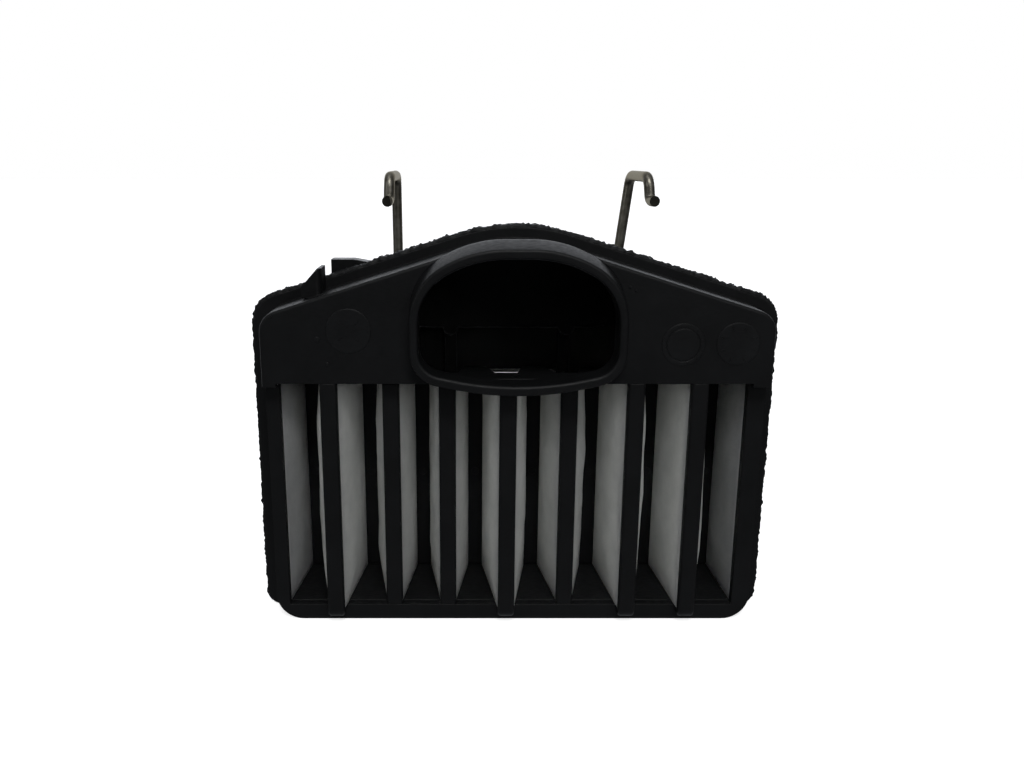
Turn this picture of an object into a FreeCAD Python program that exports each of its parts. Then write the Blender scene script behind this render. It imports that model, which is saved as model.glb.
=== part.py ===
"""Two-half pleated air filter for a small two-stroke engine: a FreeCAD macro.

Frame: +Z up, the outlet collar faces -Y, the origin is the centre of the underside.
"""
import FreeCAD, Part
import math
import os
import Sketcher

SIZES = {
    # housing outline
    "width": 118.0, "shoulder": 74.4, "rise": 0.318, "depth": 45.0, "weld_depth": 9.0,
    "corner": 6.6, "foot_corner": 2.6, "skirt_foot": 8.0, "corner_share": 0.8,
    "ridge_radius": 41.0, "wall": 2.0, "skirt_inset": 2.2, "skirt_narrow": 1.1,
    "flange": 1.5, "flash": 0.8, "flash_half": 0.9, "edge_round": 0.7,
    # front face
    "plate_proud": 3.5, "head": 58.3, "sill": 3.7, "step_height": 57.5,
    "margin_left": 6.4, "margin_right": 7.4,
    # outlet collar
    "collar_half": 23.15, "collar_top": 87.7, "collar_spring": 80.2, "collar_crest": 9.67,
    "collar_low": 59.9, "collar_dip": 4.6, "collar_reach": 4.6, "collar_wall": 1.9,
    "collar_shoulder": 13.9, "collar_crown": 27.0, "collar_corner": 7.5, "collar_belly": 67.0,
    "collar_flare": 1.7,
    # bars and pleats
    "bar_width": 3.8, "bar_1": -41.3, "bar_2": -27.9, "bar_3": -15.25,
    "bar_4": -1.75, "bar_5": 12.1, "bar_6": 26.3, "bar_7": 40.2, "nose_low": 1.8,
    "fold_1": -48.45, "fold_2": -34.5, "fold_3": -21.7, "fold_4": -8.75, "fold_5": 5.4,
    "fold_6": 19.6, "fold_7": 33.9, "fold_8": 48.6,
    "pocket_depth": 18.5, "fold_width": 3.5, "felt": 0.9, "ceiling": 1.2, "ceiling_drop": 0.7,
    "ceiling_fall": 0.11, "comb_root": 9.5, "floor_front": 3.9, "floor_back": 5.3,
    # locating teeth on the left roof slope
    "tooth_place": -42.5, "tooth_top": 82.9, "tooth_length": 4.4, "tooth_height": 6.5,
    "tooth_tip": 0.8, "tooth_slope": 4.0, "tooth_round": 1.1, "tooth_gap": 0.9,
    "rear_tooth_top": 83.8, "rear_tooth_length": 10.2, "rear_tooth_thick": 4.0,
    "rear_tooth_height": 5.0, "rear_tooth_droop": 0.9,
    # rear plate, recess and wire grooves
    "rear_head": 47.5, "vent_low": 48.3, "vent_high": 49.8, "vent_left": 10.5,
    "vent_right": 12.7, "vent_lap": 1.0,
    "recess_half": 36.0, "recess_depth": 6.5, "shelf": 65.4,
    "rib_width": 3.1, "rib_height": 1.4, "gutter": 1.9, "groove_gap": 0.25,
    # wire bail
    "wire": 2.55, "pivot_height": 68.6, "pivot_gap": 0.06, "leg_place": 15.05,
    "upright_foot": 28.9, "upright_rise": 12.0, "hook_height": 101.6, "hook_reach": 21.0,
    "hook_left": 29.3, "hook_right": 32.4, "hook_drop": 5.5, "hook_tip": 3.2, "hook_knee": 2.2,
    "handle_low": 36.0, "handle_kick": 4.6, "kick_rise": 2.5, "kick_drop": 3.0,
    "bail_bend": 2.6, "handle_bend": 4.0, "tip_bend": 1.5, "upright_bend": 30.0,
    "clip_inner": 18.0, "clip_outer": 26.0, "clip_jaw": 2.4,
}
PROUD = (1, 4, 6, 7)
BARS = range(1, 8)
POCKETS = range(1, 9)

doc = FreeCAD.newDocument("AirFilter")
sheet = doc.addObject("Spreadsheet::Sheet", "Sizes")
for row, (alias, size) in enumerate(SIZES.items(), start=1):
    sheet.set(f"A{row}", alias)
    sheet.set(f"B{row}", str(size))
    sheet.setAlias(f"B{row}", alias)
doc.recompute()


def term(text):
    """Turn names in square brackets into references to the sheet, for use in an expression."""
    return "(" + text.replace("[", "Sizes.").replace("]", "") + ")"


def value(text):
    return float(sheet.evalExpression(term(text)))


def bind(target, prop, text):
    target.setExpression(prop, term(text))


def new_body(name):
    body = doc.addObject("PartDesign::Body", name)
    body.Label = name
    return body


def polygon(body, name, plane, points, offset):
    """A closed polygon on one origin plane; every corner is bound to the sheet."""
    sketch = body.newObject("Sketcher::SketchObject", name)
    support = next(f for f in body.Origin.OriginFeatures if f.Role == plane)
    sketch.AttachmentSupport = [(support, "")]
    sketch.MapMode = "FlatFace"
    bind(sketch, "AttachmentOffset.Base.z", offset)
    corners = [FreeCAD.Vector(value(a), value(b), 0) for a, b in points]
    count = len(corners)
    for i in range(count):
        sketch.addGeometry(Part.LineSegment(corners[i], corners[(i + 1) % count]), False)
    for i in range(count):
        sketch.addConstraint(Sketcher.Constraint("Coincident", i, 2, (i + 1) % count, 1))
    for i in range(count):
        for kind, number, text in (("DistanceX", corners[i].x, points[i][0]),
                                   ("DistanceY", corners[i].y, points[i][1])):
            index = sketch.addConstraint(Sketcher.Constraint(kind, -1, 1, i, 1, number))
            bind(sketch, f"Constraints[{index}]", text)
    return sketch


def pad(body, name, plane, points, low, high):
    """Pad a polygon from low to high along the plane's own axis (X, Y or Z)."""
    flipped = plane == "XZ_Plane"
    sketch = polygon(body, name + "_outline", plane, points, f"-({high})" if flipped else low)
    solid = body.newObject("PartDesign::Pad", name)
    solid.Profile = sketch
    bind(solid, "Length", f"({high})-({low})")
    doc.recompute()
    return solid


def block(name, x, y, z):
    """A box between two limits on each axis, bound to the sheet."""
    box = doc.addObject("Part::Box", name)
    for prop, axis, limits in (("Length", "x", x), ("Width", "y", y), ("Height", "z", z)):
        bind(box, prop, f"({limits[1]})-({limits[0]})")
        bind(box, f"Placement.Base.{axis}", limits[0])
    return box


def rod(name, x, y, z, radius, axis, length):
    """A cylinder from (x, y, z) along +X, +Y or +Z."""
    cylinder = doc.addObject("Part::Cylinder", name)
    bind(cylinder, "Radius", radius)
    bind(cylinder, "Height", length)
    if axis == "X":
        cylinder.Placement.Rotation = FreeCAD.Rotation(FreeCAD.Vector(0, 1, 0), 90)
    if axis == "Y":
        cylinder.Placement.Rotation = FreeCAD.Rotation(FreeCAD.Vector(1, 0, 0), -90)
    for letter, text in zip("xyz", (x, y, z)):
        bind(cylinder, f"Placement.Base.{letter}", text)
    return cylinder


def joined(name, parts):
    fuse = doc.addObject("Part::MultiFuse", name)
    fuse.Shapes = parts
    return fuse


def cut(name, base, tool):
    difference = doc.addObject("Part::Cut", name)
    difference.Base = base
    difference.Tool = tool
    return difference


def shared(name, base, tool):
    common = doc.addObject("Part::Common", name)
    common.Base = base
    common.Tool = tool
    return common


def round_edges(body, base, name, radius, chosen):
    """Fillet the edges that chosen() accepts."""
    edges = [f"Edge{i}" for i, edge in enumerate(base.Shape.Edges, 1) if chosen(edge)]
    fillet = body.newObject("PartDesign::Fillet", name)
    fillet.Base = (base, edges)
    bind(fillet, "Radius", radius)
    doc.recompute()
    return fillet


def stands_at(x, z):
    """Accept the edges that run along Y through (x, z)."""
    def chosen(edge):
        return all(abs(v.X - x) < 1e-3 and abs(v.Z - z) < 1e-3 for v in edge.Vertexes)
    return chosen


def lies_in(y):
    """Accept the edges that lie in the plane at y."""
    def chosen(edge):
        box = edge.BoundBox
        return abs(box.YMin - y) < 1e-3 and abs(box.YMax - y) < 1e-3
    return chosen


# ---------------------------------------------------------------- outlines

def housing_corners(inset, low, narrow):
    """The gabled outline, moved inwards by inset and its sides by narrow more, its bottom at low."""
    half = f"[width]/2-({inset})-({narrow})"
    slant = "sqrt(1+[rise]*[rise])"
    shoulder = f"[shoulder]+({inset})*([rise]-{slant})+({narrow})*[rise]"
    ridge = f"[shoulder]+[width]/2*[rise]-({inset})*{slant}"
    return [(f"-({half})", low), (half, low), (half, shoulder), ("0", ridge),
            (f"-({half})", shoulder)]


def housing_blank(name, inset, low, y_low, y_high, foot="[skirt_foot]", narrow="0", rounded=False):
    """A gabled block with rounded corners, one slice of the housing; foot rounds the lower two."""
    body = new_body(name)
    corners = housing_corners(inset, low, narrow)
    solid = pad(body, name + "_pad", "XZ_Plane", corners, y_low, y_high)
    spots = [(value(x), value(z)) for x, z in corners]
    shrink = f"({inset})*[corner_share]"
    for number, places, radius in ((1, (0, 1), f"{foot}-{shrink}"), (2, (2, 4), f"[corner]-{shrink}"),
                                   (3, (3,), f"[ridge_radius]-({inset})")):
        tests = [stands_at(*spots[i]) for i in places]
        solid = round_edges(body, solid, f"{name}_round_{number}", radius,
                            lambda edge, tests=tests: any(test(edge) for test in tests))
    if rounded:
        solid = round_edges(body, solid, name + "_rim", "[edge_round]", lies_in(value(y_low)))
    return body


def rounded_wire(corners, radii, y):
    """A closed outline at y, straight sides joined by tangent arcs."""
    spots = [FreeCAD.Vector(x, y, z) for x, z in corners]
    count = len(spots)
    arcs = []
    for i, radius in enumerate(radii):
        before = (spots[i] - spots[i - 1]).normalize()
        after = (spots[(i + 1) % count] - spots[i]).normalize()
        half_turn = before.getAngle(after) / 2
        reach = radius * math.tan(half_turn)
        middle = spots[i] + (after - before).normalize() * radius * (1 / math.cos(half_turn) - 1)
        arcs.append((spots[i] - before * reach, middle, spots[i] + after * reach))
    edges = []
    for i, (enter, middle, leave) in enumerate(arcs):
        edges.append(Part.Arc(enter, middle, leave).toShape())
        edges.append(Part.LineSegment(leave, arcs[(i + 1) % count][0]).toShape())
    return Part.Wire(edges)


def collar_wire(inset, lift, y):
    """The D-shaped outline of the outlet at y, moved inwards by inset, its crown raised by lift."""
    half, low, top = (value(text) for text in (
        f"[collar_half]-({inset})", f"[collar_low]+({inset})", f"[collar_top]-({inset})+({lift})"))
    slope = math.atan2(value("[collar_top]-[collar_spring]"), value("[collar_half]-[collar_crest]"))
    spring = value(f"[collar_spring]+({lift})") - value(inset) * math.tan(math.pi / 4 - slope / 2)
    crest = value("[collar_crest]") - value(inset) * math.tan(slope / 2)
    corners = [(-half, low), (0, low - value("[collar_dip]")), (half, low), (half, spring),
               (crest, top), (-crest, top), (-half, spring)]
    corner, belly, shoulder, crown = (value(f"[collar_{word}]+({sign}{inset})") for word, sign in (
        ("corner", "-"), ("belly", ""), ("shoulder", "-"), ("crown", "-")))
    return rounded_wire(corners, [corner, belly, corner, shoulder, crown, crown, shoulder], y)


def feature(name, shape):
    """A piece whose shape is worked out above from the sheet's sizes."""
    item = doc.addObject("Part::Feature", name)
    item.Shape = shape
    return item


def prism(wire, y_high):
    """A solid from a flat outline back to y_high."""
    face = Part.Face(wire)
    return face.extrude(FreeCAD.Vector(0, y_high - wire.Vertexes[0].Y, 0))


# ---------------------------------------------------------------- depth along Y

FRONT = "-[depth]/2"
REAR = "[depth]/2"
WELD = "-[depth]/2+[weld_depth]"
PLATE_FRONT = "-[depth]/2-[plate_proud]"
PLATE_BACK = "-[depth]/2-[plate_proud]+[wall]"


def inwards(half, distance):
    """A place so far inside the grille plane of one half."""
    return f"{FRONT}+({distance})" if half == "front" else f"{REAR}-({distance})"


def span(half, near, far):
    """The two ends of a stretch inside one half, the smaller Y first."""
    ends = (inwards(half, near), inwards(half, far))
    return ends if half == "front" else ends[::-1]


def seat(half, number):
    """Centre of bar number; 0 and 8 are the edges of the window, as if bars stood there."""
    if number == 0:
        return f"{WINDOW[0]}-[bar_width]/2"
    if number == 8:
        return f"{WINDOW[1]}+[bar_width]/2"
    return f"[bar_{number}]"


def felt_start(half, number):
    """How far behind the grille plane the felt begins at a bar."""
    if half == "front" and number in PROUD:
        return "-[plate_proud]+[wall]"
    return "[wall]"


def head(half):
    return "[head]" if half == "front" else "[rear_head]"


def ceiling_under(half, distance):
    """Height of the sloping ceiling's underside, so far inside the grille plane."""
    return f"{head(half)}-[ceiling_drop]-[ceiling_fall]*({distance})"


INNER_HALF = "[width]/2-[skirt_inset]-[wall]"
WINDOW = ("-([width]/2-[margin_left])", "[width]/2-[margin_right]")
FOLD_BACK = "[pocket_depth]+[wall]"


# ---------------------------------------------------------------- mouldings

def front_frame():
    """Top plate, side walls, bottom rail and flange, one moulding."""
    weld_front = f"{WELD}-[flange]"
    flange = housing_blank("front_flange", "0", "0", weld_front, WELD, "[foot_corner]")
    skirt = housing_blank("front_skirt", "[skirt_inset]", "0", PLATE_FRONT, weld_front,
                          narrow="[skirt_narrow]", rounded=True)
    cavity = housing_blank("front_cavity", "[skirt_inset]+[wall]", "[wall]", PLATE_BACK, WELD)
    over = "[width]"
    step = block("front_step", (f"-{over}", over), (f"{PLATE_FRONT}-1", FRONT),
                 ("-1", "[step_height]"))
    behind = f"{FRONT}+[wall]"
    face = shared("front_face",
                  housing_blank("front_face_limit", "[skirt_inset]", "0", FRONT, behind,
                                narrow="[skirt_narrow]"),
                  block("front_face_block", (f"-{over}", over), (FRONT, behind), ("0", "[step_height]")))
    window = block("front_window", WINDOW,
                   (f"{PLATE_FRONT}-1", f"{behind}+1"), ("[sill]", "[head]"))
    mouth = collar_wire("0", "[collar_flare]", value(f"{PLATE_FRONT}-1"))
    outlet = feature("front_outlet", prism(mouth, value(PLATE_BACK)))
    hollow = cut("front_hollow", joined("front_outer", [flange, skirt, front_tooth()]),
                 joined("front_voids", [cavity, step]))
    closed = joined("front_closed", [hollow, face])
    return cut("front_frame", closed, joined("front_openings", [window, outlet]))


def outlet_collar():
    """D-shaped collar that the intake elbow seals on; its crown leans back to the plate."""
    tip, root, back = (value(y) for y in (f"{PLATE_FRONT}-[collar_reach]", PLATE_FRONT, PLATE_BACK))
    base = collar_wire("0", "[collar_flare]", root)
    outer = Part.makeLoft([collar_wire("0", "0", tip), base], True, True).fuse(prism(base, back))
    bore = prism(collar_wire("[collar_wall]", "0", tip - 1), back + 1)
    ring = outer.cut(bore).removeSplitter()
    rim = [edge for edge in ring.Edges if lies_in(tip)(edge)]
    return feature("outlet_collar", ring.makeFillet(value("[edge_round]"), rim))


def front_tooth():
    """Tooth on the left roof slope of the front half, upright on its right side."""
    body = new_body("front_tooth")
    left, low, front = "[tooth_place]-[tooth_length]", "[tooth_top]-[tooth_height]", f"{FRONT}+[flash]"
    points = [(left, low), ("[tooth_place]", low), ("[tooth_place]", "[tooth_top]"),
              ("[tooth_place]-[tooth_tip]", "[tooth_top]"), (left, "[tooth_top]-[tooth_slope]")]
    solid = pad(body, "front_tooth_pad", "XZ_Plane", points, front, f"{WELD}-[flange]")
    x, y = value("[tooth_place]"), value(front)
    round_edges(body, solid, "front_tooth_round", "[tooth_round]",
                lambda edge: all(abs(v.X - x) < 1e-3 and abs(v.Y - y) < 1e-3 for v in edge.Vertexes))
    return body


def rear_tooth():
    """Tooth of the rear half; the notch between the two teeth locates the filter."""
    body = new_body("rear_tooth")
    left, right = "[tooth_place]+[tooth_gap]", "[tooth_place]+[tooth_gap]+[rear_tooth_length]"
    low = "[rear_tooth_top]-[rear_tooth_height]"
    points = [(left, low), (right, low), (right, "[rear_tooth_top]-[rear_tooth_droop]"),
              (f"{left}+[rear_tooth_length]/2", "[rear_tooth_top]"), (left, "[rear_tooth_top]")]
    start = f"{WELD}+[flange]"
    pad(body, "rear_tooth_pad", "XZ_Plane", points, start, f"{start}+[rear_tooth_thick]")
    return body


def rear_shell():
    """Deep rear moulding: flange, walls, rear plate, recess for the bail and its grooves."""
    weld_back = f"{WELD}+[flange]"
    flange = housing_blank("rear_flange", "0", "0", WELD, weld_back, "[foot_corner]")
    skirt = housing_blank("rear_skirt", "[skirt_inset]", "0", weld_back, REAR)
    cavity = housing_blank("rear_cavity", "[skirt_inset]+[wall]", "[wall]", WELD, f"{REAR}-[wall]")
    window = block("rear_window", WINDOW,
                   (f"{REAR}-[wall]-1", f"{REAR}+1"), ("[sill]", "[rear_head]"))
    vent = block("rear_vent", ("-[vent_left]", "[vent_right]"), (f"{REAR}-[wall]-1", f"{REAR}+1"),
                 ("[vent_low]", "[vent_high]"))
    roof = "[shoulder]+[width]"
    recess_back = f"{REAR}-[recess_depth]"
    liner = block("recess_liner", ("-[recess_half]-[wall]", "[recess_half]+[wall]"),
                  (f"{recess_back}-[wall]", REAR), ("[shelf]-[wall]", roof))
    inside = shared("recess_wall", liner,
                    housing_blank("recess_limit", "[skirt_inset]", "0", weld_back, REAR))
    recess = block("recess", ("-[recess_half]", "[recess_half]"), (recess_back, f"{REAR}+1"),
                   ("[shelf]", roof))
    shell = cut("shell_hollow", joined("shell_outer", [flange, skirt]),
                joined("shell_voids", [cavity, window, vent]))
    gutters = [rod(f"groove_gutter_{side}", place, f"{recess_back}-[wall]", "[shelf]-[wall]",
                   "[gutter]", "Y", "[recess_depth]")
               for side, place in (("left", "-[leg_place]"), ("right", "[leg_place]"))]
    ribs = [block(f"groove_rib_{side}", (f"{place}-[rib_width]/2", f"{place}+[rib_width]/2"),
                  (f"{REAR}-[wall]-[rib_height]", f"{REAR}-[wall]"), ("[rear_head]", "[shelf]-[wall]"))
            for side, place in (("left", "-[leg_place]"), ("right", "[leg_place]"))]
    grooves = [rod(f"leg_groove_{side}", place, REAR, "[rear_head]-1", "[wire]/2+[groove_gap]", "Z",
                   "[shelf]-[rear_head]+2")
               for side, place in (("left", "-[leg_place]"), ("right", "[leg_place]"))]
    lined = joined("shell_lined", [shell, inside, rear_tooth()] + ribs + gutters)
    return cut("rear_shell", lined, joined("shell_cuts", [recess] + grooves))


def vent_felt():
    """Felt strip behind the narrow vent between the wire grooves."""
    lap = "[vent_lap]"
    return block("vent_felt", (f"-[vent_left]-{lap}/2", f"[vent_right]+{lap}/2"),
                 (f"{REAR}-[wall]-[felt]", f"{REAR}-[wall]"),
                 (f"[vent_low]-{lap}/2", f"[vent_high]+{lap}"))


def weld_flash():
    """The bead squeezed out round the joint; the flat base stays clear of it."""
    ends = (f"{WELD}-[flash_half]", f"{WELD}+[flash_half]")
    outer = housing_blank("flash_outer", "-[flash]", "0", *ends, "[foot_corner]")
    inner = housing_blank("flash_inner", "0", "0", *ends, "[foot_corner]")
    return cut("weld_flash", outer, inner)


# ---------------------------------------------------------------- grilles

def plain_bar(half, number):
    """A bar in the grille plane."""
    body = new_body(f"{half}_bar_{number}")
    near, far = span(half, "0", "[wall]")
    side = "[bar_width]/2"
    place = seat(half, number)
    points = [(f"{place}-{side}", near), (f"{place}+{side}", near), (f"{place}+{side}", far),
              (f"{place}-{side}", far)]
    top = ceiling_under(half, "[wall]") if half == "front" else head(half)
    solid = pad(body, body.Name + "_pad", "XY_Plane", points, "[sill]", top)
    outer = value(inwards(half, "0"))
    round_edges(body, solid, body.Name + "_round", "[edge_round]",
                lambda edge: lies_in(outer)(edge) and edge.BoundBox.ZLength > 5)
    return body


def proud_bar(number, collar):
    """A bar flush with the top plate, with a rounded foot over the rail, cut off under the collar."""
    body = new_body(f"proud_bar_{number}")
    back = f"{PLATE_FRONT}+[wall]"
    points = [(PLATE_FRONT, "[nose_low]"), (FRONT, "[nose_low]"), (FRONT, "[sill]"), (back, "[sill]"),
              (back, "[head]"), (PLATE_FRONT, "[head]")]
    place = seat("front", number)
    solid = pad(body, body.Name + "_pad", "YZ_Plane", points, f"{place}-[bar_width]/2",
                f"{place}+[bar_width]/2")
    front, low = value(PLATE_FRONT), value("[nose_low]")

    def foot(edge):
        return all(abs(v.Y - front) < 1e-3 and abs(v.Z - low) < 1e-3 for v in edge.Vertexes)
    solid = round_edges(body, solid, body.Name + "_foot", "[wall]", foot)
    round_edges(body, solid, body.Name + "_round", "[edge_round]",
                lambda edge: lies_in(front)(edge) and edge.BoundBox.ZLength > 5)
    return cut(f"front_bar_{number}", body, collar)


def fold_bar(half, number):
    """The narrow bar in the fold of a pleat."""
    place = f"[fold_{number}]"
    bar = block(f"{half}_fold_bar_{number}", (f"{place}-[fold_width]/2", f"{place}+[fold_width]/2"),
                span(half, "[pocket_depth]", FOLD_BACK),
                ("[floor_back]", ceiling_under(half, FOLD_BACK)))
    return bar


def pleat_roof(half):
    """Comb of ceilings over the pleats; the gaps between its fingers open into the plenum."""
    start = "-[plate_proud]+[wall]" if half == "front" else "[wall]"
    root, reach = "[comb_root]", f"{FOLD_BACK}+[felt]"
    points = [(f"-({INNER_HALF})", inwards(half, start)), (INNER_HALF, inwards(half, start)),
              (INNER_HALF, inwards(half, root))]
    for number in reversed(POCKETS):
        fold, share = f"[fold_{number}]", "([comb_root]-[wall])/([pocket_depth]-[wall])"
        tip = "[fold_width]/2+[felt]"
        right = f"{seat(half, number)}-[bar_width]/2+[felt]"
        left = f"{seat(half, number - 1)}+[bar_width]/2-[felt]"
        points += [(f"{right}+({fold}+{tip}-({right}))*{share}", inwards(half, root)),
                   (f"{fold}+{tip}", inwards(half, reach)), (f"{fold}-({tip})", inwards(half, reach)),
                   (f"{left}+({fold}-({tip})-({left}))*{share}", inwards(half, root))]
    points.append((f"-({INNER_HALF})", inwards(half, root)))
    plan = new_body(f"{half}_comb_plan")
    pad(plan, plan.Name + "_pad", "XY_Plane", points, f"{head(half)}-8", f"{head(half)}+4")
    slab = ceiling_slab(half, f"{half}_comb_slab", "[ceiling]", start, reach)
    return shared(f"{half}_pleat_roof", plan, slab)


def ceiling_slab(half, name, thick, near, far):
    """A sloping slab whose underside is the pleats' ceiling."""
    body = new_body(name)
    points = [(inwards(half, near), ceiling_under(half, near)),
              (inwards(half, far), ceiling_under(half, far)),
              (inwards(half, far), f"{ceiling_under(half, far)}+{thick}"),
              (inwards(half, near), f"{ceiling_under(half, near)}+{thick}")]
    pad(body, name + "_pad", "YZ_Plane", points, f"-({INNER_HALF})", INNER_HALF)
    return body


def pleat_floor(half, interior):
    """Sloping floor under the pleats, filling the housing from wall to wall."""
    body = new_body(f"{half}_floor_wedge")
    near, far = "[wall]", f"{FOLD_BACK}+[felt]"
    points = [(inwards(half, near), "[wall]"), (inwards(half, far), "[wall]"),
              (inwards(half, far), "[floor_back]"), (inwards(half, near), "[floor_front]")]
    pad(body, body.Name + "_pad", "YZ_Plane", points, f"-({INNER_HALF})", INNER_HALF)
    return shared(f"{half}_floor", body, interior)


def pleat(half, number, trimmer):
    """One felt pleat: two leaning walls round a fold bar, with a nose behind each front bar."""
    left, right = seat(half, number - 1), seat(half, number)
    start_left, start_right = felt_start(half, number - 1), felt_start(half, number)
    fold = f"[fold_{number}]"
    side, leaf = "[bar_width]/2", "[felt]"
    inner_fold = [f"{fold}-[fold_width]/2", f"{fold}+[fold_width]/2"]
    outer_fold = [f"{inner_fold[0]}-{leaf}", f"{inner_fold[1]}+{leaf}"]
    near, far = "[pocket_depth]", FOLD_BACK
    points = [
        (left, start_left), (f"{left}+{side}", start_left),
        (inner_fold[0], near), (inner_fold[0], far), (inner_fold[1], far), (inner_fold[1], near),
        (f"{right}-{side}", start_right), (right, start_right), (right, f"{start_right}+{leaf}"),
        (f"{right}-{side}+{leaf}", f"{start_right}+{leaf}"),
        (outer_fold[1], near), (outer_fold[1], f"{far}+{leaf}"),
        (outer_fold[0], f"{far}+{leaf}"), (outer_fold[0], near),
        (f"{left}+{side}-{leaf}", f"{start_left}+{leaf}"), (left, f"{start_left}+{leaf}")]
    body = new_body(f"{half}_leaf_{number}")
    pad(body, body.Name + "_pad", "XY_Plane", [(x, inwards(half, y)) for x, y in points],
        "[sill]", head(half))
    return cut(f"{half}_pleat_{number}", body, trimmer)


# ---------------------------------------------------------------- wire bail

def bent_path(points, radii):
    """Straight runs joined by tangent arcs, one radius for each inner point."""
    edges, start = [], points[0]
    for i in range(1, len(points) - 1):
        before = (points[i] - points[i - 1]).normalize()
        after = (points[i + 1] - points[i]).normalize()
        turn = before.getAngle(after)
        reach = radii[i - 1] * math.tan(turn / 2)
        enter, leave = points[i] - before * reach, points[i] + after * reach
        across = (after - before).normalize()
        middle = points[i] + across * (radii[i - 1] / math.cos(turn / 2) - radii[i - 1])
        edges.append(Part.LineSegment(start, enter).toShape())
        edges.append(Part.Arc(enter, middle, leave).toShape())
        start = leave
    edges.append(Part.LineSegment(start, points[-1]).toShape())
    return Part.Wire(edges)


def bail_points():
    """Route of the wire from the left cut end to the right one."""
    plane, pivot, leg, top, foot = (value(text) for text in (
        REAR, "[pivot_height]", "[leg_place]", "[hook_height]", "[upright_foot]"))
    hook, tip, knee = plane - value("[hook_reach]"), value("[hook_tip]"), value("[hook_knee]")
    kick, low = plane + value("[handle_kick]"), value("[handle_low]")
    rise, end = pivot + value("[upright_rise]"), top - value("[hook_drop]")
    straight, bent = value("[rear_head]+[kick_rise]"), value("[rear_head]-[kick_drop]")

    def hook_points(side, x, lean):
        return [(side * (x + 2 * lean), hook - tip / 2, end), (side * (x + lean), hook + tip / 2, end),
                (side * x, hook + knee, top), (side * (x - 2 * lean), plane, top)]
    left = hook_points(-1, value("[hook_left]"), 0.15) + [(-foot, plane, rise), (-foot, plane, pivot)]
    legs = [(-leg, plane, pivot), (-leg, plane, straight), (-leg, kick, bent), (-leg, kick, low)]
    right = hook_points(1, value("[hook_right]"), 0.5) + [(foot, plane, rise), (foot, plane, pivot)]
    mirrored = [(-x, y, z) for x, y, z in reversed(legs)]
    return [FreeCAD.Vector(*p) for p in left + legs + mirrored + right[::-1]]


def wire_bail():
    """Spring wire with a hook at each end, swept along its route."""
    points = bail_points()
    tight, wide, tip, long = (value(f"[{word}_bend]") for word in ("bail", "handle", "tip", "upright"))
    one_side = [tip, tight, tight, long, tight, tight, wide, wide, wide]
    radii = one_side + one_side[::-1]
    path = doc.addObject("Part::Feature", "bail_route")
    path.Shape = bent_path(points, radii)
    section = doc.addObject("Part::Circle", "bail_section")
    bind(section, "Radius", "[wire]/2")
    heading = (points[1] - points[0]).normalize()
    section.Placement = FreeCAD.Placement(
        points[0], FreeCAD.Rotation(FreeCAD.Vector(0, 0, 1), heading))
    sweep = doc.addObject("Part::Sweep", "wire_bail")
    sweep.Sections = [section]
    sweep.Spine = (path, [f"Edge{i + 1}" for i in range(len(path.Shape.Edges))])
    sweep.Solid = True
    sweep.Frenet = False
    return sweep


def bail_clip(side):
    """Snap saddle on the shelf: a block with a round seat that opens to the rear."""
    x = ("[clip_inner]", "[clip_outer]") if side == "right" else ("-[clip_outer]", "-[clip_inner]")
    jaw = "[wire]/2+[clip_jaw]"
    saddle = block(f"saddle_{side}", x, (f"{REAR}-({jaw})", f"{REAR}+[wire]/2"),
                   ("[shelf]", f"[pivot_height]+({jaw})"))
    bore = rod(f"saddle_bore_{side}", f"{x[0]}-1", REAR, "[pivot_height]", "[wire]/2+[pivot_gap]",
               "X", "[clip_outer]-[clip_inner]+2")
    mouth = block(f"saddle_mouth_{side}", (f"{x[0]}-1", f"{x[1]}+1"), (f"{REAR}+[wire]/4", f"{REAR}+[wire]"),
                  ("[pivot_height]-[wire]*0.45", "[pivot_height]+[wire]*0.45"))
    return cut(f"bail_clip_{side}", saddle, joined(f"saddle_hollow_{side}", [bore, mouth]))


# ---------------------------------------------------------------- assembly

def build():
    collar = outlet_collar()
    nodes = [front_frame(), collar, rear_shell(), vent_felt(), weld_flash()]
    interior = housing_blank("interior", "[skirt_inset]+[wall]", "[wall]", FRONT, REAR)
    for half in ("front", "rear"):
        floor = pleat_floor(half, interior)
        above = ceiling_slab(half, f"{half}_above_pleats", "12", "-[plate_proud]", f"{FOLD_BACK}+3")
        trimmer = joined(f"{half}_pleat_trimmer", [floor, above])
        nodes += [floor, pleat_roof(half)]
        for number in BARS:
            proud = half == "front" and number in PROUD
            nodes.append(proud_bar(number, collar) if proud else plain_bar(half, number))
        for number in POCKETS:
            nodes.append(fold_bar(half, number))
            nodes.append(pleat(half, number, trimmer))
    nodes += [bail_clip("left"), bail_clip("right"), wire_bail()]
    return nodes


def check(nodes):
    doc.recompute()
    for item in doc.Objects:
        bad = [word for word in item.State if word in ("Invalid", "Error")]
        if bad:
            raise RuntimeError(f"{item.Label} is {bad}")
    for node in nodes:
        shape = node.Shape
        if shape.isNull() or not shape.isValid() or len(shape.Solids) != 1:
            raise RuntimeError(f"{node.Label} is not one valid solid: {len(shape.Solids)}")


def export(nodes):
    os.makedirs("parts", exist_ok=True)
    for node in nodes:
        node.Shape.exportStep(f"parts/{node.Label}.step")


subparts = build()
check(subparts)
export(subparts)
print(len(subparts), "nodes")
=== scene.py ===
"""The looks of a two-half pleated air filter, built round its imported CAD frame, in metres."""
import math

import bmesh
import bpy
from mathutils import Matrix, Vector, geometry, noise


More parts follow.
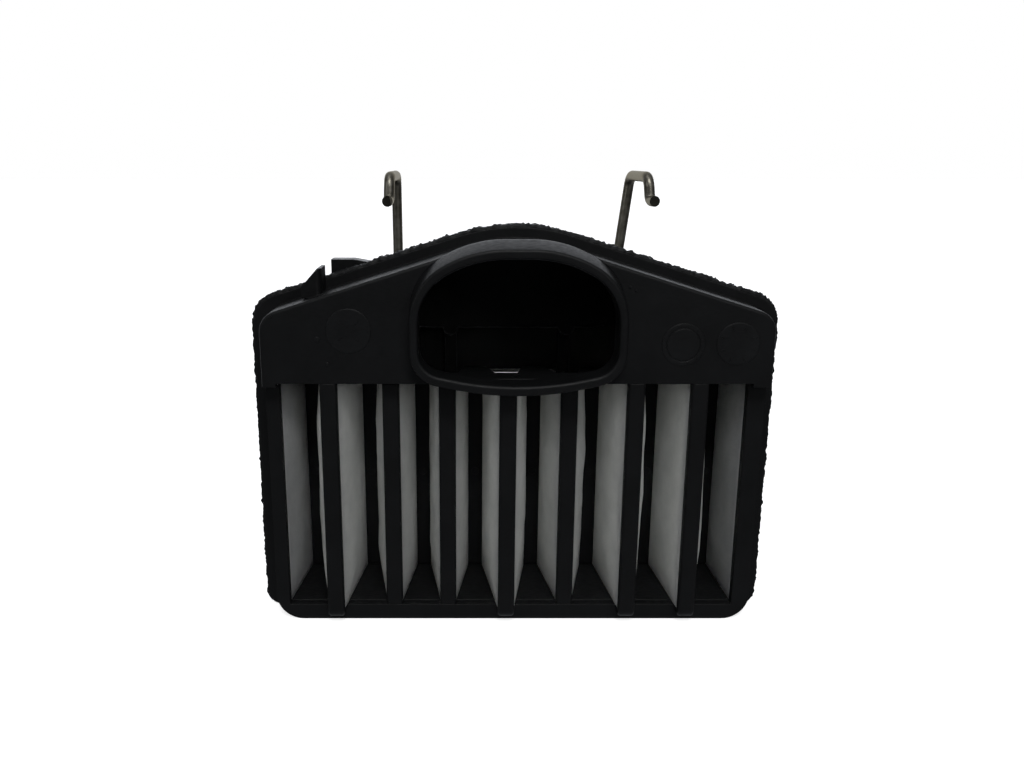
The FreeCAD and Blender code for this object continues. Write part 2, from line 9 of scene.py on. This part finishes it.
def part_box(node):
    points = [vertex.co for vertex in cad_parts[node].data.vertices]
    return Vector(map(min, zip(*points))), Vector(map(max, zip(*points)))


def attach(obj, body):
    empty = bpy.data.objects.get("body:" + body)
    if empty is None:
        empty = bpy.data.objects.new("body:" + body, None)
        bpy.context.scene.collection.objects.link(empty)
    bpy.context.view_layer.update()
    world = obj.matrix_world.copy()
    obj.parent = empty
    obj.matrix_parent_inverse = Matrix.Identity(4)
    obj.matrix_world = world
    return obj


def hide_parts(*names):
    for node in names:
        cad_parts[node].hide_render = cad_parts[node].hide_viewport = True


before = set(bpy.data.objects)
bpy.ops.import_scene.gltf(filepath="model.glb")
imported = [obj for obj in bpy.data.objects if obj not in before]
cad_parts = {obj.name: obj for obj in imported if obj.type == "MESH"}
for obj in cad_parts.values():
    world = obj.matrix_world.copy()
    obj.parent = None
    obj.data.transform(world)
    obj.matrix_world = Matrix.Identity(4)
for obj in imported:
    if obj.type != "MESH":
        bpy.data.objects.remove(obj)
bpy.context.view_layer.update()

MM = 0.001
HOUSING, BAIL = "housing", "bail"
BARS, POCKETS = range(1, 8), range(1, 9)
HALVES = ("front", "rear")
UP, TOWARD_FRONT = Vector((0, 0, 1)), Vector((0, -1, 0))


# ---------------------------------------------------------------- small helpers

def spot(x, y, z):
    """A point given in millimetres."""
    return Vector((x, y, z)) * MM


def link(name, mesh, material, body=HOUSING, smooth=True):
    """Make a piece from a mesh, with its material, and let it ride on a body."""
    piece = bpy.data.objects.new(name, mesh)
    bpy.context.scene.collection.objects.link(piece)
    mesh.materials.append(material)
    for face in mesh.polygons:
        face.use_smooth = smooth
    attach(piece, body)
    return piece


def mesh_from(bm, name):
    bmesh.ops.recalc_face_normals(bm, faces=bm.faces)
    mesh = bpy.data.meshes.new(name)
    bm.to_mesh(mesh)
    bm.free()
    return mesh


def wave(point, size, seed=0.0):
    """Smooth noise from -1 to 1 whose lumps are about size across."""
    return noise.noise(point / size + Vector((seed, 2.7 * seed, -1.3 * seed)))


def around(count):
    """count evenly spaced angles of a full turn."""
    return [2 * math.pi * i / count for i in range(count)]


def strip(bm, a, b):
    """Join two closed rings of points with a band of faces."""
    count = len(a)
    for k in range(count):
        bm.faces.new((a[k], a[(k + 1) % count], b[(k + 1) % count], b[k]))


def slab(bm, front, back):
    """Close two like grids of points, one behind the other, into a thin solid."""
    columns, rows = len(front) - 1, len(front[0]) - 1
    for grid in (front, back):
        for i in range(columns):
            for j in range(rows):
                bm.faces.new((grid[i][j], grid[i + 1][j], grid[i + 1][j + 1], grid[i][j + 1]))
    for i in range(columns):
        for j in (0, rows):
            bm.faces.new((front[i][j], front[i + 1][j], back[i + 1][j], back[i][j]))
    for j in range(rows):
        for i in (0, columns):
            bm.faces.new((front[i][j], front[i][j + 1], back[i][j + 1], back[i][j]))


# ---------------------------------------------------------------- materials

class Nodes:
    """Short calls for building one node tree."""

    def __init__(self, material):
        material.use_nodes = True
        self.tree = material.node_tree
        self.shader = self.tree.nodes["Principled BSDF"]
        self.place = self.add("ShaderNodeTexCoord").outputs["Object"]

    def add(self, kind, **settings):
        node = self.tree.nodes.new(kind)
        for key, setting in settings.items():
            setattr(node, key, setting)
        return node

    def join(self, source, target):
        self.tree.links.new(source, target)

    def stretched(self, scale):
        mapping = self.add("ShaderNodeMapping")
        mapping.inputs["Scale"].default_value = scale
        self.join(self.place, mapping.inputs["Vector"])
        return mapping.outputs["Vector"]

    def noise(self, size, detail=3.0, rough=0.6, source=None):
        texture = self.add("ShaderNodeTexNoise")
        texture.inputs["Scale"].default_value = 1.0 / size
        texture.inputs["Detail"].default_value = detail
        texture.inputs["Roughness"].default_value = rough
        self.join(source or self.place, texture.inputs["Vector"])
        return texture.outputs["Fac"]

    def ramp(self, source, low, high, start=0.35, end=0.65):
        ramp = self.add("ShaderNodeValToRGB")
        for stop, place, colour in zip(ramp.color_ramp.elements, (start, end), (low, high)):
            stop.position = place
            stop.color = (*colour, 1.0)
        self.join(source, ramp.inputs["Fac"])
        return ramp.outputs["Color"]

    def span(self, source, low, high, start=0.3, end=0.7):
        remap = self.add("ShaderNodeMapRange")
        settings = {"From Min": start, "From Max": end, "To Min": low, "To Max": high}
        for key, number in settings.items():
            remap.inputs[key].default_value = number
        self.join(source, remap.inputs["Value"])
        return remap.outputs["Result"]

    def bump(self, source, height, normal=None):
        bump = self.add("ShaderNodeBump")
        bump.inputs["Distance"].default_value = height
        bump.inputs["Strength"].default_value = 1.0
        self.join(source, bump.inputs["Height"])
        if normal is not None:
            self.join(normal, bump.inputs["Normal"])
        return bump.outputs["Normal"]

    def set(self, key, setting):
        self.shader.inputs[key].default_value = setting

    def drive(self, key, source):
        self.join(source, self.shader.inputs[key])


def grey(level, tint=(1.0, 1.0, 1.0)):
    return tuple(level * share for share in tint)


def nylon(name, level, roughness, grain, lumps):
    """Glass-filled nylon: fine etched grain, faint flow marks, short fibres, softened edges."""
    material = bpy.data.materials.new(name)
    n = Nodes(material)
    cool = (0.93, 0.99, 1.08)
    clouds = n.noise(9 * MM, 4.0)
    n.drive("Base Color", n.ramp(clouds, grey(level * 0.78, cool), grey(level * 1.25, cool)))
    fine = n.noise(0.22 * MM, 4.0, 0.7)
    fibres = n.noise(0.5 * MM, 2.0, 0.5, n.stretched((0.35, 1.0, 2.2)))
    n.drive("Roughness", n.span(fibres, roughness - 0.07, roughness + 0.08))
    soft = n.add("ShaderNodeBevel", samples=4)
    soft.inputs["Radius"].default_value = 0.35 * MM
    normal = n.bump(fine, grain, soft.outputs["Normal"])
    normal = n.bump(fibres, grain * 0.7, normal)
    normal = n.bump(n.noise(3.5 * MM, 3.0), lumps, normal)
    n.drive("Normal", normal)
    n.set("Specular IOR Level", 0.28)
    return material


def felt(name, through=0.68, gaps=0.0):
    """White non-woven felt that lets light through.

    gaps is the fibre-noise level at which the felt turns open: 0 for a closed felt.
    """
    material = bpy.data.materials.new(name)
    n = Nodes(material)
    fibres = n.noise(0.35 * MM, 6.0, 0.75)
    strands = n.noise(0.8 * MM, 4.0, 0.7, n.stretched((1.0, 1.0, 0.3)))
    clouds = n.noise(6 * MM, 4.0, 0.65)
    n.drive("Base Color", n.ramp(clouds, (0.66, 0.675, 0.70), (0.84, 0.845, 0.85), 0.3, 0.7))
    n.drive("Roughness", n.span(fibres, 0.86, 0.98))
    normal = n.bump(fibres, 0.07 * MM)
    normal = n.bump(strands, 0.06 * MM, normal)
    normal = n.bump(clouds, 0.3 * MM, normal)
    n.drive("Normal", normal)
    n.set("Specular IOR Level", 0.1)
    n.set("Sheen Weight", 0.15)
    n.set("Sheen Roughness", 0.6)
    glow = n.add("ShaderNodeBsdfTranslucent")
    n.join(n.ramp(clouds, (0.92, 0.92, 0.89), (0.985, 0.985, 0.97), 0.3, 0.7), glow.inputs["Color"])
    n.join(normal, glow.inputs["Normal"])
    blend = n.add("ShaderNodeMixShader")
    n.join(n.span(clouds, through - 0.06, through + 0.06), blend.inputs["Fac"])
    n.join(n.shader.outputs["BSDF"], blend.inputs[1])
    n.join(glow.outputs["BSDF"], blend.inputs[2])
    surface = blend.outputs["Shader"]
    if gaps:
        scrim = n.add("ShaderNodeMixShader")
        n.join(n.span(fibres, gaps - 0.08, gaps + 0.08), scrim.inputs["Fac"])
        n.join(surface, scrim.inputs[1])
        n.join(n.add("ShaderNodeBsdfTransparent").outputs["BSDF"], scrim.inputs[2])
        surface = scrim.outputs["Shader"]
    n.join(surface, n.tree.nodes["Material Output"].inputs["Surface"])
    return material


def wire_steel(name, level, roughness):
    """Drawn spring steel with fine draw lines and a dull, slightly brown film."""
    material = bpy.data.materials.new(name)
    n = Nodes(material)
    film = n.noise(2.2 * MM, 5.0, 0.65)
    brown, straw = (1.0, 0.93, 0.76), (1.0, 0.96, 0.82)
    n.drive("Base Color", n.ramp(film, grey(level * 0.62, brown), grey(level, straw)))
    lines = n.noise(0.12 * MM, 3.0, 0.6, n.stretched((1.0, 1.0, 0.08)))
    n.drive("Roughness", n.span(film, roughness - 0.08, roughness + 0.12))
    n.drive("Normal", n.bump(lines, 0.012 * MM))
    n.set("Metallic", 1.0)
    n.set("Specular Tint", (0.42, 0.40, 0.36, 1.0))
    return material


NYLON = nylon("black_nylon", 0.0062, 0.50, 0.012 * MM, 0.05 * MM)
NYLON_REAR = nylon("rear_nylon", 0.0058, 0.46, 0.014 * MM, 0.05 * MM)
WELD = nylon("weld_bead", 0.0075, 0.55, 0.05 * MM, 0.12 * MM)
MARKS = nylon("moulded_marks", 0.0082, 0.50, 0.02 * MM, 0.02 * MM)
# Painted highlight: the edge beads are coloured several times paler than the rest of the nylon, to
# stand for the glint along these edges. A guess: edges rubbed or whitened until they are several
# times paler than the rest.
PALE_HIGHLIGHT_NYLON = nylon("painted_edge_highlight", 0.05, 0.34, 0.004 * MM, 0.01 * MM)
FELT = felt("filter_felt")
VENT_FELT = felt("vent_felt", 0.97, 0.62)
STEEL = wire_steel("spring_wire", 0.34, 0.42)
CUT_STEEL = wire_steel("cut_wire_end", 0.06, 0.55)


# ---------------------------------------------------------------- moulded pieces

def outlines_dissolved(node):
    """The node's mesh with its flat areas merged into single faces."""
    bm = bmesh.new()
    bm.from_mesh(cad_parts[node].data)
    bmesh.ops.remove_doubles(bm, verts=bm.verts, dist=0.002 * MM)
    bmesh.ops.dissolve_limit(bm, angle_limit=math.radians(0.4), verts=bm.verts, edges=bm.edges)
    return bm


def softened(node, width, material=NYLON):
    """A copy of a CAD node with its sharp moulded edges rounded, standing for the node."""
    name = f"{node}_moulding"
    piece = link(name, mesh_from(outlines_dissolved(node), name), material)
    bevel = piece.modifiers.new("edges", "BEVEL")
    bevel.limit_method = "ANGLE"
    bevel.angle_limit = math.radians(32)
    bevel.width = width
    bevel.segments = 2
    bevel.use_clamp_overlap = True
    normals = piece.modifiers.new("shading", "WEIGHTED_NORMAL")
    normals.keep_sharp = True
    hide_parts(node)


def moulded_pieces():
    """Give every moulded node rounded edges."""
    softened("front_frame", 0.22 * MM)
    softened("rear_shell", 0.22 * MM, NYLON_REAR)
    softened("outlet_collar", 0.12 * MM)
    for half in HALVES:
        for word in ("floor", "pleat_roof"):
            softened(f"{half}_{word}", 0.12 * MM)
        for number in BARS:
            softened(f"{half}_bar_{number}", 0.15 * MM)
        for number in POCKETS:
            softened(f"{half}_fold_bar_{number}", 0.3 * MM)
    for side in ("left", "right"):
        softened(f"bail_clip_{side}", 0.2 * MM, NYLON_REAR)


# ---------------------------------------------------------------- felt

FELT_THICK = 0.9 * MM


def slope_of(node, pick):
    """Height along Y of a node's upper (pick=max) or lower (pick=min) face, as a function."""
    low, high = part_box(node)
    ends = []
    for y in (low.y, high.y):
        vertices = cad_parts[node].data.vertices
        ends.append(pick([v.co.z for v in vertices if abs(v.co.y - y) < 0.01 * MM]))
    return lambda y: ends[0] + (ends[1] - ends[0]) * (y - low.y) / (high.y - low.y)


def seat(half, number, inner):
    """(bar edge, seat centre, felt start) beside bar number; inner is +1 or -1 in X."""
    bar_low, bar_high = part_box("front_bar_2")
    thick = bar_high.y - bar_low.y
    half_width = (bar_high.x - bar_low.x) / 2
    toward = 1 if half == "front" else -1
    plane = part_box(f"{half}_bar_2")[0].y if half == "front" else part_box(f"{half}_bar_2")[1].y
    if number in (0, 8):
        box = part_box(f"{half}_pleat_{1 if number == 0 else 8}")
        centre = box[0].x if number == 0 else box[1].x
        return centre + inner * half_width, centre, plane + toward * thick
    low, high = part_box(f"{half}_bar_{number}")
    near = low.y if half == "front" else high.y
    return (high.x if inner > 0 else low.x), (low.x + high.x) / 2, near + toward * thick


def stretch(start, end, count):
    """count points from start towards end, without end."""
    return [start.lerp(end, i / count) for i in range(count)]


def pleat_plan(half, number):
    """Plan of a pleat's pocket side: (point, how free the felt is, wall) along its path."""
    left_edge, left_centre, left_start = seat(half, number - 1, 1)
    right_edge, right_centre, right_start = seat(half, number, -1)
    low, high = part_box(f"{half}_fold_bar_{number}")
    near, far = (low.y, high.y) if half == "front" else (high.y, low.y)
    corners = [Vector((x, y, 0.0)) for x, y in (
        (left_centre, left_start), (left_edge, left_start), (low.x, near), (low.x, far),
        (high.x, far), (high.x, near), (right_edge, right_start), (right_centre, right_start))]
    plan = []
    for index, count in enumerate((3, 22, 3, 3, 3, 22, 3)):
        for step, point in enumerate(stretch(corners[index], corners[index + 1], count)):
            wall = {1: -1, 5: 1}.get(index, 0)
            share = step / count if index != 5 else 1 - step / count
            plan.append((point, share if wall else 0.0, wall))
    plan.append((corners[-1], 0.0, 0))
    return plan


def felt_relief(share, wall, height, number, half):
    """How far the felt stands into its pocket, from 0 at its held edges."""
    seed = number * 3.1 + wall * 1.7 + (11.0 if half == "rear" else 0.0)
    if share <= 0.0:
        return 0.0
    free = math.sin(math.pi * min(share, 1.0)) ** 0.75
    held = min(1.0, math.sin(math.pi * min(1.0, max(0.0, height))) * 1.8)
    lean = 0.75 + 0.25 * noise.noise(Vector((seed, 3.0 * seed, 1.0)))
    belly = 0.55 * noise.noise(Vector((height * 2.3 + seed, share * 1.1, seed)))
    ripple = 0.34 * noise.noise(Vector((height * 5.5 - seed, share * 2.2, 5.0 + seed)))
    crease = 0.12 * noise.noise(Vector((height * 16.0 + seed, share * 5.0, 9.0 - seed)))
    return free * held * (lean + belly + ripple + crease) * MM


def pleat(half, number):
    """One felt pleat as a folded sheet with real thickness and gently wavy walls."""
    node = f"{half}_pleat_{number}"
    plan = pleat_plan(half, number)
    floor_top = slope_of(f"{half}_floor", max)
    ceiling = slope_of(f"{half}_pleat_roof", min)
    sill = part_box(node)[0].z
    floor_low, floor_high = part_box(f"{half}_floor")
    flip = 1.0 if half == "front" else -1.0
    rows = 40
    bm = bmesh.new()
    layers = []
    for offset in (0.0, FELT_THICK):
        grid = []
        for index, (point, share, wall) in enumerate(plan):
            before = plan[max(index - 1, 0)][0]
            after = plan[min(index + 1, len(plan) - 1)][0]
            into = (point - before).normalized() if index else (after - point).normalized()
            out = (after - point).normalized() if index < len(plan) - 1 else into
            tangent = (into + out).normalized()
            outward = Vector((tangent.y, -tangent.x, 0.0)) * -flip
            miter = offset / max(0.35, math.sqrt((1 + max(-0.7, into.dot(out))) / 2))
            over_floor = floor_low.y <= point.y <= floor_high.y
            bottom = max(sill, floor_top(point.y)) if over_floor else sill
            top = ceiling(point.y)
            column = []
            for row in range(rows + 1):
                height = row / rows
                relief = felt_relief(share, wall, height, number, half)
                place = point + outward * (miter - relief)
                column.append(bm.verts.new((place.x, place.y, bottom + (top - bottom) * height)))
            grid.append(column)
        layers.append(grid)
    last = len(plan) - 1
    slab(bm, *layers)
    piece = link(f"{half}_felt_{number}", mesh_from(bm, node + "_felt"), FELT)
    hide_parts(node)
    tall = ceiling(plan[last // 2][0].y) - sill


def vent_strip():
    """The felt strip behind the rear vent, with slightly frayed edges."""
    low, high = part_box("vent_felt")
    bm = bmesh.new()
    columns, rows = 60, 12
    sides = []
    for y in (low.y, high.y):
        grid = []
        for i in range(columns + 1):
            column = []
            for j in range(rows + 1):
                x = low.x + (high.x - low.x) * i / columns
                z = low.z + (high.z - low.z) * j / rows
                edge = 0.12 * MM * wave(Vector((x, y, z)), 1.5 * MM, 4.0)
                rim = 1.0 if j in (0, rows) or i in (0, columns) else 0.0
                belly = 0.3 * edge * (1 - rim)
                column.append(bm.verts.new((x + edge * rim, y + belly, z + edge * rim)))
            grid.append(column)
        sides.append(grid)
    slab(bm, *sides)
    piece = link("vent_felt_strip", mesh_from(bm, "vent_felt_strip"), VENT_FELT)
    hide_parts("vent_felt")


# ---------------------------------------------------------------- weld bead

def outline_of(node, step):
    """The node's convex outline from the front, as even points with outward directions."""
    flat = [Vector((v.co.x, v.co.z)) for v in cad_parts[node].data.vertices]
    hull = [flat[i] for i in geometry.convex_hull_2d(flat)]
    if sum(a.x * b.y - a.y * b.x for a, b in zip(hull, hull[1:] + hull[:1])) < 0:
        hull.reverse()
    stations = []
    for a, b in zip(hull, hull[1:] + hull[:1]):
        length = (b - a).length
        if length < 1e-7:
            continue
        count = max(1, round(length / step))
        along = (b - a).normalized()
        for i in range(count):
            stations.append((a.lerp(b, i / count), Vector((along.y, -along.x))))
    smooth = []
    count = len(stations)
    for i, (point, _) in enumerate(stations):
        near = [stations[(i + k) % count][1] for k in range(-3, 4)]
        smooth.append((point, sum(near, Vector((0.0, 0.0))).normalized()))
    return smooth


def weld_bead():
    """The rough bead that hot-plate welding squeezes out, with a lip from each half."""
    low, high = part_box("weld_flash")
    middle = (low.y + high.y) / 2
    stations = outline_of("weld_flash", 0.3 * MM)
    proud = 0.8 * MM
    section = 14
    bm = bmesh.new()
    rings = []
    for point, outward in stations:
        here = Vector((point.x, middle, point.y))
        ring = []
        for turn in around(section):
            across, reach = math.cos(turn), math.sin(turn)
            lobes = 0.62 + 0.38 * abs(across) ** 0.7
            lump = wave(here + Vector((0, across * MM, 0)), 3.1 * MM, 1.0) * 0.32
            lump += wave(here + Vector((0, across * 2 * MM, reach * MM)), 1.1 * MM, 5.0) * 0.55
            lump += wave(here + Vector((0, across * 2 * MM, 0)), 0.5 * MM, 9.0) * 0.5
            lump *= 0.65 + 0.35 * min(1.0, max(0.0, outward.y) * 3)
            out = proud * (0.15 + 0.75 * lobes + lump) if reach > 0.05 else -0.9 * MM
            out *= 1.0 if reach > 0.5 else (0.55 + 0.45 * max(reach, 0.0) if reach > 0.05 else 1.0)
            side = across * (1.25 + 0.35 * wave(here, 2.2 * MM, 3.0 + across)) * MM
            base = point - outward * proud
            x, z = base.x + outward.x * (out + 0.1 * MM), base.y + outward.y * (out + 0.1 * MM)
            ring.append(bm.verts.new((x, middle + side, max(z, 0.12 * MM))))
        rings.append(ring)
    count = len(rings)
    for i in range(count):
        strip(bm, rings[i], rings[(i + 1) % count])
    piece = link("weld_bead", mesh_from(bm, "weld_bead"), WELD)
    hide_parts("weld_flash")


# ---------------------------------------------------------------- moulded marks

def round_pad(name, centre, radius, height, ring=False):
    """A low round pad on a face that looks to the front; ring adds a groove."""
    bm = bmesh.new()
    right = TOWARD_FRONT.cross(UP).normalized()
    profile = [(1.0, -0.4), (1.0, 0.55), (0.985, 0.85), (0.965, 1.0)]
    if ring:
        profile += [(0.80, 1.0), (0.785, 0.35), (0.755, 0.35), (0.74, 1.0)]
    profile += [(0.02, 1.0)]
    rings = []
    for share, lift in profile:
        rings.append([bm.verts.new(
            centre + (right * math.cos(t) + UP * math.sin(t)) * radius * share
            + TOWARD_FRONT * height * lift) for t in around(64)])
    for a, b in zip(rings, rings[1:]):
        strip(bm, a, b)
    bm.faces.new(rings[-1])
    bm.faces.new(list(reversed(rings[0])))
    link(name, mesh_from(bm, name), MARKS, smooth=False)


def disc_ticks(name, centre, radius, height, turns, reach):
    """Plain raised ticks standing on a disc, each a small bar with sloping sides."""
    bm = bmesh.new()
    for turn in turns:
        along = Vector((math.cos(turn), 0, math.sin(turn)))
        across = Vector((-along.z, 0, along.x))
        rows = []
        for grow, lift in ((1.0, 0.5), (0.55, 1.5)):
            half = 0.16 * MM * grow
            draft = (1 - grow) * 0.2 * MM
            ends = (reach[0] * radius + draft, reach[1] * radius - draft)
            rows.append([bm.verts.new(centre + along * place + across * side
                                      + TOWARD_FRONT * height * lift)
                         for place, side in ((ends[0], -half), (ends[1], -half), (ends[1], half),
                                             (ends[0], half))])
        strip(bm, *rows)
        bm.faces.new(rows[1])
        bm.faces.new(rows[0][::-1])
    link(name, mesh_from(bm, name), MARKS, smooth=False)


def plate_marks():
    """Three plain moulded discs with ticks, pin marks and gate vestiges on the front plate."""
    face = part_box("front_frame")[0].y
    height = 0.10 * MM
    for name, x, z, radius, ring, count, reach in (
            ("left", -36.4, 70.0, 4.9, False, 4, (0.30, 0.62)),
            ("middle", 35.8, 67.0, 4.7, True, 12, (0.84, 0.95)),
            ("right", 47.6, 67.2, 4.7, False, 8, (0.66, 0.90))):
        centre = Vector((x * MM, face, z * MM))
        round_pad(f"plate_disc_{name}", centre, radius * MM, height, ring)
        disc_ticks(f"plate_disc_ticks_{name}", centre, radius * MM, height,
                   [2 * math.pi * (i + 0.5) / count for i in range(count)], reach)
    pins = ((-43.2, 68.2, 0.6), (-53.0, 73.2, 0.35), (-41.2, 62.7, 0.45), (23.8, 79.5, 0.35),
            (25.1, 78.7, 0.3))
    for index, (x, z, radius) in enumerate(pins, start=1):
        round_pad(f"plate_pin_{index}", Vector((x * MM, face, z * MM)), radius * MM, 0.12 * MM)


def fold_marks():
    """Ejector-pin marks half way up each front fold bar."""
    for number in POCKETS:
        low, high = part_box(f"front_fold_bar_{number}")
        centre = Vector(((low.x + high.x) / 2, low.y, 30.4 * MM))
        round_pad(f"fold_bar_pin_{number}", centre, 0.95 * MM, 0.1 * MM)


# ---------------------------------------------------------------- edges inside the outlet

def bead(name, points, radius, seed=0.0):
    """A thin round bead along a path, a little uneven, as left on the edge of a moulding; its pale
    colour is a painted highlight along that edge.
    """
    bm = bmesh.new()
    last = len(points) - 1
    rings = []
    for i, point in enumerate(points):
        along = (points[min(i + 1, last)] - points[max(i - 1, 0)]).normalized()
        side = along.cross(Vector((0, 1, 0)))
        side = side.normalized() if side.length > 0.1 else Vector((1, 0, 0))
        up = along.cross(side).normalized()
        taper = 0.4 if i in (0, last) else 1.0
        size = radius * (1 + 0.3 * wave(point, 2.0 * MM, seed)) * taper
        rings.append([bm.verts.new(point + (side * math.cos(t) + up * math.sin(t)) * size)
                      for t in around(10)])
    for a, b in zip(rings, rings[1:]):
        strip(bm, a, b)
    bm.faces.new(rings[0])
    bm.faces.new(rings[-1][::-1])
    # pale nylon: a painted highlight along the edge
    link(name, mesh_from(bm, name), PALE_HIGHLIGHT_NYLON)


def shelf_beads():
    """Lower edge of the recess wall, dipping under both wire grooves, and rib edges below, as pale
    beads that paint the highlights along these edges.
    """
    face, low = 13.95, 63.4
    groove, dip = 15.05, 1.9
    path = []
    x = -25.0
    while x < 25.6:
        near = min(abs(x - groove), abs(x + groove))
        drop = math.sqrt(dip * dip - near * near) if near < dip else 0.0
        lift = 0.25 * max(0.0, abs(x) - 20.5) ** 1.3 * 0.35
        path.append(spot(x, face, low - drop + lift))
        x += 0.12 if near < dip + 0.3 else 0.5
    bead("shelf_edge", path, 0.19 * MM, 2.0)
    rib_face, rib_half = 19.05, 1.5
    for side in (-1, 1):
        for edge in (-1, 1):
            x = side * groove + edge * rib_half
            points = [spot(x, rib_face, low - 2.2 - i * 0.6) for i in range(20)]
            hand, place = "left" if side < 0 else "right", "in" if side * edge < 0 else "out"
            bead(f"rib_edge_{hand}_{place}", points, 0.13 * MM, 3.0 + side + edge)


def mouth_bead():
    """Fine flash left along the upper inner edge of the collar, coloured pale as a painted
    highlight along that edge.
    """
    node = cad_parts["outlet_collar"]
    low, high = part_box("outlet_collar")
    plane = low.y + 0.7 * MM
    middle = Vector(((low.x + high.x) / 2, 0, 74 * MM))
    inner = {}
    for vertex in node.data.vertices:
        co = vertex.co
        if abs(co.y - plane) > 0.08 * MM or co.z < 80 * MM:
            continue
        key = round(math.degrees(math.atan2(co.z - middle.z, co.x - middle.x)) / 2)
        reach = Vector((co.x - middle.x, 0, co.z - middle.z)).length
        if key not in inner or reach < inner[key][0]:
            inner[key] = (reach, co.copy())
    path = [inner[key][1] for key in sorted(inner)]
    dense = []
    for a, b in zip(path, path[1:]):
        dense += stretch(a, b, max(1, round((b - a).length / (0.35 * MM))))
    if len(dense) > 4:
        bead("mouth_edge", dense, 0.10 * MM, 6.0)


# ---------------------------------------------------------------- wire

def wire_finish():
    """The CAD wire keeps its shape; its cut ends get dark sheared faces."""
    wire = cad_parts["wire_bail"]
    wire.data.materials.clear()
    wire.data.materials.append(STEEL)
    wire.data.materials.append(CUT_STEEL)
    for face in wire.data.polygons:
        face.use_smooth = True
        face.material_index = 0
    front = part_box("wire_bail")[0].y + 0.4 * MM
    for face in wire.data.polygons:
        centre = face.center
        at_tip = centre.y < front and centre.z > 90 * MM and abs(centre.x) > 29 * MM
        if face.normal.y < -0.9 and at_tip:
            face.material_index = 1
            face.use_smooth = False


# ---------------------------------------------------------------- stage

def studio():
    """White table and surroundings, lit from behind, from above and softly from the front.

    The camera sees plain white beyond the table, while the light itself is uneven.
    """
    bpy.context.scene.view_settings.view_transform = "Standard"
    world = bpy.data.worlds.new("studio")
    bpy.context.scene.world = world
    world.use_nodes = True
    tree = world.node_tree
    tree.nodes.clear()

    def add(kind, **settings):
        node = tree.nodes.new(kind)
        for key, setting in settings.items():
            setattr(node, key, setting)
        return node

    def span(source, start, end, low, high):
        remap = add("ShaderNodeMapRange", interpolation_type="SMOOTHSTEP")
        settings = {"From Min": start, "From Max": end, "To Min": low, "To Max": high}
        for key, number in settings.items():
            remap.inputs[key].default_value = number
        tree.links.new(source, remap.inputs["Value"])
        return remap.outputs["Result"]

    out = add("ShaderNodeOutputWorld")
    seen, lights = add("ShaderNodeBackground"), add("ShaderNodeBackground")
    seen.inputs["Color"].default_value = (1.0, 1.0, 1.0, 1.0)
    seen.inputs["Strength"].default_value = 1.0
    lights.inputs["Color"].default_value = (0.95, 0.98, 1.04, 1.0)
    path, mix = add("ShaderNodeLightPath"), add("ShaderNodeMixShader")
    place, split = add("ShaderNodeTexCoord"), add("ShaderNodeSeparateXYZ")
    tree.links.new(place.outputs["Generated"], split.inputs["Vector"])
    total = None
    for axis, start, end, low, high in (("Y", 0.5, 1.0, 0.03, 2.0), ("Z", 0.0, 0.9, 0.0, 0.14),
                                        ("Z", -0.2, -0.6, 0.0, 0.22)):
        share = span(split.outputs[axis], start, end, low, high)
        if total is not None:
            plus = add("ShaderNodeMath", operation="ADD")
            tree.links.new(total, plus.inputs[0])
            tree.links.new(share, plus.inputs[1])
            share = plus.outputs["Value"]
        total = share
    tree.links.new(total, lights.inputs["Strength"])
    tree.links.new(path.outputs["Is Camera Ray"], mix.inputs["Fac"])
    tree.links.new(lights.outputs["Background"], mix.inputs[1])
    tree.links.new(seen.outputs["Background"], mix.inputs[2])
    tree.links.new(mix.outputs["Shader"], out.inputs["Surface"])

    bpy.ops.mesh.primitive_plane_add(size=8.0, location=(0, 0, -0.02 * MM))
    floor = bpy.context.object
    floor.name = "table"
    white = bpy.data.materials.new("table_white")
    n = Nodes(white)
    n.set("Base Color", (0.8, 0.8, 0.8, 1.0))
    n.set("Roughness", 0.6)
    n.set("Specular IOR Level", 0.2)
    n.set("Emission Color", (1.0, 1.0, 1.0, 1.0))
    n.set("Emission Strength", 0.80)
    floor.data.materials.append(white)
    floor.visible_diffuse = False
    floor.visible_glossy = False

    def softbox(name, place, aim, size, power):
        light = bpy.data.lights.new(name, "AREA")
        light.shape = "RECTANGLE"
        light.size, light.size_y = size
        light.energy = power
        lamp = bpy.data.objects.new(name, light)
        bpy.context.scene.collection.objects.link(lamp)
        lamp.location = place
        lamp.rotation_euler = (Vector(aim) - Vector(place)).to_track_quat("-Z", "Y").to_euler()

    softbox("top_soft", (-0.12, -0.10, 0.95), (0, 0, 0.05), (0.5, 0.35), 0.45)
    softbox("front_soft", (0.05, -0.62, 0.78), (0, 0, 0.03), (0.3, 0.2), 3.0)
    softbox("low_right", (0.42, -0.85, 0.40), (0, 0, 0.06), (0.16, 0.16), 0.5)
    softbox("low_left", (-0.70, -0.45, 0.32), (0, 0, 0.06), (0.16, 0.16), 0.35)


def camera():
    """Close view from in front and a little above, off to the left."""
    data = bpy.data.cameras.new("camera")
    data.sensor_width = 36.0
    data.lens = 31.640625
    data.shift_x = 0.0458984375
    data.clip_start = 0.005
    lens = bpy.data.objects.new("camera", data)
    bpy.context.scene.collection.objects.link(lens)
    front_plate, distance = -22.5, 193.6
    lens.location = spot(-11.3, front_plate - distance, 106.4)
    looking_down = 14.2
    lens.rotation_euler = (math.radians(90 - looking_down), 0, 0)
    bpy.context.scene.camera = lens


# ---------------------------------------------------------------- build

camera()
moulded_pieces()
for half in HALVES:
    for number in POCKETS:
        pleat(half, number)
vent_strip()
weld_bead()
plate_marks()
fold_marks()
shelf_beads()
mouth_bead()
wire_finish()
studio()
